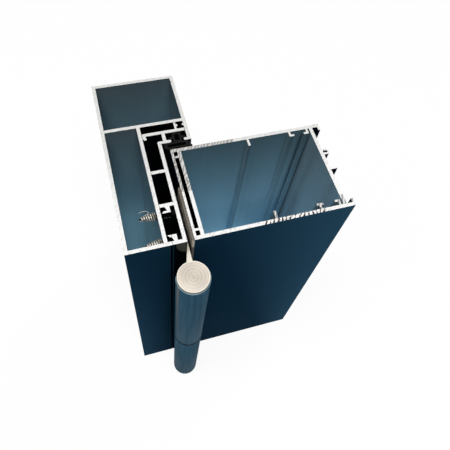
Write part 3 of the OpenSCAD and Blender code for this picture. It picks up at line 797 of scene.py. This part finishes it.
class SAMPLE_OT_dress_hinge(bpy.types.Operator):
    """Finish the barrel: turned end, sleeves with round rims, ring, strap and plate"""

    bl_idname = "sample.dress_hinge"
    bl_label = "Dress Hinge"

    def execute(self, context):
        sizes = context.scene.sample_sizes
        colours = context.scene.sample_colours
        turned = turned_metal(sizes, colours)
        coat_node("upper_knuckle", turned)
        coat_node("lower_knuckle", plate_metal(sizes, colours))
        coat_node("hinge_pin", plated_steel(sizes, colours))
        self.turn_end(sizes, turned)
        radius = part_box("upper_sleeve")[1].x - AXIS_X
        low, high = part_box("joint_ring")
        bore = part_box("hinge_pin")[1].x - AXIS_X + sizes.ring_play
        ring = turned_ring(bore, radius, low.z, high.z, slice(1, 3), sizes.ring_edge)
        make_piece("joint_ring_moulded", ring, [ring_nylon(sizes, colours)], "frame", "ring", "joint_ring")
        strap_edge = math.acos((sizes.strap + sizes.slit_play) / radius)
        plate_right = LEAF_LOW.x - AXIS_X
        slit_right = math.acos((plate_right + sizes.slit_play) / radius)
        slit_left = math.acos((plate_right - sizes.plate - sizes.slit_play) / radius)
        sleeve = sleeve_coat(sizes, colours)
        wall = sizes.sleeve_wall
        for node, body, start, stop in (("upper_sleeve", "frame", OPEN_EDGE, strap_edge),
                                        ("lower_sleeve", "leaf", slit_left, slit_right)):
            low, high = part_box(node)
            outer = (high.x - low.x) / 2
            shell = turned_ring(outer - wall, outer, low.z, high.z, slice(0, 4), wall / 3,
                                start, stop + FULL_TURN - start)
            make_piece(f"{node}_rounded", shell, [sleeve], body, "sleeve", node)
        return {"FINISHED"}

    def turn_end(self, sizes, material):
        """A thin turned disc on the barrel's end, with a ring every pitch and a chamfered rim."""
        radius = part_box("upper_sleeve")[1].x - AXIS_X - sizes.sleeve_wall
        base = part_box("upper_knuckle")[1].z
        depth = sizes.ring_depth
        face = base + 3 * depth
        steps = 48
        section = [(0, face)]
        for i in range(1, steps + 1):
            r = (radius - 2 * depth) * i / steps
            wave = math.cos(FULL_TURN * r / sizes.ring_pitch)
            section.append((r, face + depth * (wave - 1) / 2))
        section += [(radius, base + depth), (radius, base), (0, base)]
        bm = bmesh.new()
        line = chain(bm, [(AXIS_X + r, AXIS_Y, z) for r, z in section])
        bmesh.ops.spin(bm, geom=line, cent=AXIS, axis=UPWARD, angle=FULL_TURN,
                       steps=ROUND_STEPS, use_merge=True)
        close_up(bm)
        make_piece("barrel_end", bm, [material], "frame", "bare_metal")


def screw_head(bm, radius, low_radius, height):
    """A screw's head at zero along +Z, with a lobed recess in its face."""
    bmesh.ops.create_cone(bm, cap_ends=True, segments=32, radius1=radius, radius2=low_radius, depth=height,
                          matrix=Matrix.Translation((0, 0, height / 2)))
    cap = min((f for f in bm.faces if len(f.verts) > 4), key=lambda f: f.calc_center_median().z)
    # Shares of the head's radius and height, and the recess's lobes
    recess_edge, recess_depth, lobes, lobe_depth = 0.45, 0.6, 4, 0.28
    bmesh.ops.inset_individual(bm, faces=[cap], thickness=recess_edge * radius)
    for vert in cap.verts:
        lobe = 1 - lobe_depth + lobe_depth * math.cos(lobes * math.atan2(vert.co.y, vert.co.x))
        vert.co.x *= lobe
        vert.co.y *= lobe
    dug = bmesh.ops.extrude_face_region(bm, geom=[cap])
    bmesh.ops.delete(bm, geom=[cap], context="FACES")
    floor = [v for v in dug["geom"] if isinstance(v, bmesh.types.BMVert)]
    bmesh.ops.translate(bm, verts=floor, vec=(0, 0, recess_depth * height))


def screw_shank(bm, start, length, core, crest, pitch):
    """A screw's core, flat drill point and thread, along +Z from half its head's height."""
    # The point grows flat towards its end.
    point, flattening = 1.3 * core, 0.4
    shank = length - point - start / 2
    before = set(bm.faces)
    bmesh.ops.create_cone(bm, cap_ends=True, segments=24, radius1=core, radius2=core, depth=shank,
                          matrix=Matrix.Translation((0, 0, (shank + start) / 2)))
    tip = bmesh.ops.create_cone(bm, cap_ends=True, segments=24, radius1=core, radius2=core / 3, depth=point,
                                matrix=Matrix.Translation((0, 0, length - point / 2)))
    for vert in tip["verts"]:
        vert.co.x *= 1 - flattening * (vert.co.z - length + point) / point
    # The core and point take the shaded steel, as painted shade between the threads.
    for face in set(bm.faces) - before:
        face.material_index = 1
    # The thread's foot is sunk a little into the core, and it runs over part of the point.
    foot, turn_steps, bare_point = 0.96 * core, 24, 0.6
    steps = int(turn_steps * (length - bare_point * point - start) / pitch)
    profile = ((foot, 0.0), (crest, 0.3), (crest, 0.4), (foot, 0.7))
    ridge = chain(bm, [(radius, 0, start + share * pitch) for radius, share in profile], closed=True)
    bmesh.ops.spin(bm, geom=ridge, cent=(0, 0, 0), axis=UPWARD, dvec=(0, 0, pitch / turn_steps),
                   angle=FULL_TURN * steps / turn_steps, steps=steps)
    close_up(bm)


class SAMPLE_OT_drive_screws(bpy.types.Operator):
    """Put threaded screws in the place of the plain ones"""

    bl_idname = "sample.drive_screws"
    bl_label = "Drive Screws"

    def execute(self, context):
        sizes = context.scene.sample_sizes
        colours = context.scene.sample_colours
        finishes = [plated_steel(sizes, colours), oiled_steel(sizes, colours)]
        kinds = [("drill_screw", ("back", "front"), -1, "frame", False),
                 ("strap_screw", ("top", "mid", "low"), -1, "frame", True),
                 ("plate_screw", ("top", "mid", "low"), 1, "leaf", True)]
        for kind, ends, way, body, countersunk in kinds:
            for end in ends:
                node = f"{kind}_{end}"
                low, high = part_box(node)
                bm = self.cut_screw(sizes, low, high, countersunk)
                seat = Vector((high.x if way < 0 else low.x, (low.y + high.y) / 2, (low.z + high.z) / 2))
                turn = Matrix.Rotation(math.radians(90 * way), 4, "Y")
                bmesh.ops.transform(bm, matrix=Matrix.Translation(seat) @ turn, verts=bm.verts)
                make_piece(f"{node}_threaded", bm, finishes, body, "steel", node)
        return {"FINISHED"}

    def cut_screw(self, sizes, low, high, countersunk):
        """A screw along +Z that fits a node's box. Outside the frame's chamber a drill screw takes painted shade.
        """
        length = high.x - low.x
        head_radius = (high.z - low.z) / 2
        crest = min(sizes.thread_crest, 0.7 * head_radius)
        share = crest / sizes.thread_crest
        core = crest - share * sizes.thread_depth
        taper = share * sizes.screw_taper
        bm = bmesh.new()
        screw_head(bm, head_radius, core if countersunk else head_radius, sizes.screw_head)
        screw_shank(bm, sizes.screw_head, length, core, crest, share * sizes.thread_pitch)
        tip_loss = 0.75
        for vert in bm.verts:
            narrow = 1 - tip_loss * max(0.0, (vert.co.z - length + taper) / taper)
            vert.co.x *= narrow
            vert.co.y *= narrow
        wall_face = OPENINGS["frame_tall_chamber"][1][0]
        bright = length if countersunk else wall_face - low.x
        for face in bm.faces:
            if face.calc_center_median().z < length - bright:
                face.material_index = 1
        return bm


class SAMPLE_OT_leave_swarf(bpy.types.Operator):
    """Hang a curl of swarf on the back screw, raise burrs round the screws and chips along the torn cut"""

    bl_idname = "sample.leave_swarf"
    bl_label = "Leave Swarf"

    def execute(self, context):
        sizes = context.scene.sample_sizes
        steel = plated_steel(sizes, context.scene.sample_colours)
        self.hang_curl(sizes, steel)
        for end in ("back", "front"):
            self.raise_burr(sizes, steel, f"drill_screw_{end}")
        self.raise_chips(context, sizes)
        return {"FINISHED"}

    def hang_curl(self, sizes, steel):
        """A flat open loop of ribbon over the back screw's threads."""
        low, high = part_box("drill_screw_back")
        middle = (low + high) / 2
        # The loop hangs this far from the screw's tip.
        hub = Vector((low.x, middle.y, middle.z)) + Vector((3.2, 1.9, 1.8)) * MM
        steps, sweep, flatness = 40, math.radians(250), 0.5
        bm = bmesh.new()
        start = hub + Vector((0, -sizes.swarf_radius, 0))
        ribbon = chain(bm, [start, start + Vector((0, 0, sizes.swarf_width))])
        bmesh.ops.spin(bm, geom=ribbon, cent=hub, axis=UPWARD, dvec=(0, 0, sizes.swarf_rise / steps),
                       angle=sweep, steps=steps)
        squeeze = Matrix.Diagonal((1.0, flatness, 1.0, 1.0))
        about_hub = Matrix.Translation(hub) @ squeeze @ Matrix.Translation(-hub)
        bmesh.ops.transform(bm, matrix=about_hub, verts=bm.verts)
        bmesh.ops.recalc_face_normals(bm, faces=bm.faces)
        bmesh.ops.solidify(bm, geom=bm.faces[:], thickness=sizes.swarf_wall)
        make_piece("swarf_curl", bm, [steel], "frame", "steel")

    def raise_burr(self, sizes, steel, node):
        """A thin ragged ring of metal that the screw pushed up round its thread."""
        dice = random.Random(3)
        low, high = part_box(node)
        middle = (low + high) / 2
        inner = sizes.thread_crest - sizes.thread_depth
        outer = 1.35 * sizes.thread_crest
        near = low.x + sizes.burr_place
        section = ((0.0, inner), (1.0, inner), (0.5, outer))
        bm = bmesh.new()
        cross = chain(bm, [(near + share * sizes.burr_width, middle.y, middle.z + radius)
                           for share, radius in section], closed=True)
        bmesh.ops.spin(bm, geom=cross, cent=middle, axis=(1, 0, 0), angle=FULL_TURN,
                       steps=28, use_merge=True)
        close_up(bm)
        for vert in bm.verts:
            if (vert.co - middle).yz.length > sizes.thread_crest:
                vert.co.x += dice.uniform(-0.2, 0.2) * MM
        make_piece(f"{node}_burr", bm, [steel], "frame", "steel")

    def raise_chips(self, context, sizes):
        """Bent chips that the saw left standing on the cut of the leaf's front wall."""
        dice = random.Random(7)
        count = context.scene.sample_studio.chips
        torn = sizes.gash_end - sizes.gash_start
        top = LEAF_HIGH.z
        bm = bmesh.new()
        for i in range(count):
            along = LEAF_LOW.x + sizes.gash_start + torn * (i + dice.random()) / count
            wide = dice.uniform(0.25, 0.6) * MM
            deep = dice.uniform(0.9, 1.7) * MM
            tall = dice.uniform(0.15, 0.45) * MM
            back = LEAF_LOW.y + sizes.wall - deep / 2 + dice.uniform(-0.2, 0.15) * MM
            turn = Matrix.Rotation(math.radians(dice.uniform(-40, -10)), 4, "Z")
            lean = Matrix.Rotation(math.radians(dice.uniform(-18, 18)), 4, "X")
            stand = Matrix.Translation((along, back, top)) @ turn @ lean
            shape = Matrix.Diagonal((wide, deep, tall, 1.0))
            chip = bmesh.ops.create_cube(bm, size=1.0, matrix=stand @ shape)
            tops = [v for v in chip["verts"] if v.co.z > top]
            bmesh.ops.translate(bm, verts=tops, vec=(dice.uniform(-0.25, 0.25) * MM, 0, 0))
        chips = torn_chips(sizes, context.scene.sample_colours)
        make_piece("saw_chips", bm, [chips], "leaf", "profile")


class SAMPLE_OT_set_stage(bpy.types.Operator):
    """Set up the floor, the light and the camera"""

    bl_idname = "sample.set_stage"
    bl_label = "Set Stage"

    def execute(self, context):
        scene = context.scene
        studio = scene.sample_studio
        scene.view_settings.view_transform = "Standard"
        self.lay_floor(scene, studio)
        self.light_room(scene, studio)
        data = bpy.data.cameras.new("camera")
        data.lens = studio.lens
        data.sensor_width = 36.0
        data.shift_y = studio.shift
        data.clip_start = 0.01
        camera = bpy.data.objects.new("camera", data)
        camera.location = studio.camera_place
        camera.rotation_euler = studio.camera_turn
        scene.collection.objects.link(camera)
        scene.camera = camera
        return {"FINISHED"}

    def seen(self, add):
        """One for the rays that show the background to the eye, to metal and to glass."""
        rays = ("Is Camera Ray", "Is Glossy Ray", "Is Transmission Ray")
        return any_of(add, [add("LightPath", out=ray) for ray in rays])

    def lay_floor(self, scene, studio):
        """A wide pale floor that looks near white and keeps the sample's shadow."""
        material = bpy.data.materials.new("pale_studio_floor")
        material.use_nodes = True
        tree = material.node_tree
        tree.nodes.clear()
        add = partial(add_node, tree)
        share = add("Times", self.seen(add), studio.floor_glow)
        matt = add("BsdfDiffuse", Color=scene.sample_colours.floor)
        white = add("Emission", Color=(1, 1, 1, 1), Strength=1.0)
        look = add("MixShader", share, matt, white)
        output = tree.nodes.new("ShaderNodeOutputMaterial")
        tree.links.new(look, output.inputs["Surface"])
        bm = bmesh.new()
        bmesh.ops.create_grid(bm, x_segments=1, y_segments=1, size=6.0)
        mesh = bpy.data.meshes.new("floor")
        bm.to_mesh(mesh)
        bm.free()
        mesh.materials.append(material)
        floor = bpy.data.objects.new("floor", mesh)
        scene.collection.objects.link(floor)

    def light_room(self, scene, studio):
        """Even light from all round, a soft key from the front, two lamps on the left and one behind."""
        world = bpy.data.worlds.new("studio")
        scene.world = world
        world.use_nodes = True
        tree = world.node_tree
        sky = tree.nodes["Background"]
        add = partial(add_node, tree)
        strength = add("MapRange", self.seen(add), 0.0, 1.0, studio.sky_level, 1.0)
        fill(tree, sky.inputs["Strength"], strength)
        fill(tree, sky.inputs["Color"], (1, 1, 1, 1))
        middle = (CAD_BOX[0] + CAD_BOX[1]) / 2
        distance = 3.0
        # Each lamp's direction from the front, its height in degrees and its width
        lamps = {"key": (-5, 64, 1.2), "fill": (-80, 77, 1.0),
                 "side": (-85, 48, 1.6), "rim": (125, 40, 1.6)}
        for name, (azimuth, elevation, width) in lamps.items():
            data = bpy.data.lights.new(name, "AREA")
            data.shape = "SQUARE"
            data.size = width
            # A lamp of this power gives a white card that faces it the wanted level.
            data.energy = getattr(studio, f"{name}_level") * math.pi ** 2 * distance ** 2
            lamp = bpy.data.objects.new(name, data)
            scene.collection.objects.link(lamp)
            turn = math.radians(azimuth)
            lift = math.radians(elevation)
            along_floor = math.cos(lift)
            away = Vector((math.sin(turn) * along_floor, -math.cos(turn) * along_floor, math.sin(lift)))
            lamp.location = middle + away * distance
            lamp.rotation_euler = (-away).to_track_quat("-Z", "Y").to_euler()


class SAMPLE_PT_panel(bpy.types.Panel):
    """Lists the sample's operators and what a user may change"""

    bl_idname = "SAMPLE_PT_panel"
    bl_label = "Door Sample"
    bl_space_type = "VIEW_3D"
    bl_region_type = "UI"
    bl_category = "Door Sample"

    def draw(self, context):
        for operator in OPERATORS:
            self.layout.operator(operator.bl_idname)
        for name, group in GROUPS.items():
            for prop in group.__annotations__:
                self.layout.prop(getattr(context.scene, name), prop)


GROUPS = {"sample_sizes": SampleSizes, "sample_colours": SampleColours, "sample_studio": SampleStudio}
OPERATORS = (SAMPLE_OT_coat_profiles, SAMPLE_OT_fit_seal, SAMPLE_OT_dress_hinge, SAMPLE_OT_drive_screws,
             SAMPLE_OT_leave_swarf, SAMPLE_OT_set_stage)
CLASSES = (*GROUPS.values(), *OPERATORS, SAMPLE_PT_panel)


def register():
    for cls in CLASSES:
        bpy.utils.register_class(cls)
    for name, group in GROUPS.items():
        setattr(bpy.types.Scene, name, PointerProperty(type=group))


def unregister():
    for name in GROUPS:
        delattr(bpy.types.Scene, name)
    for cls in reversed(CLASSES):
        bpy.utils.unregister_class(cls)


def main():
    register()
    bpy.ops.sample.coat_profiles()
    bpy.ops.sample.fit_seal()
    bpy.ops.sample.dress_hinge()
    bpy.ops.sample.drive_screws()
    bpy.ops.sample.leave_swarf()
    bpy.ops.sample.set_stage()


if __name__ == "__main__":
    main()
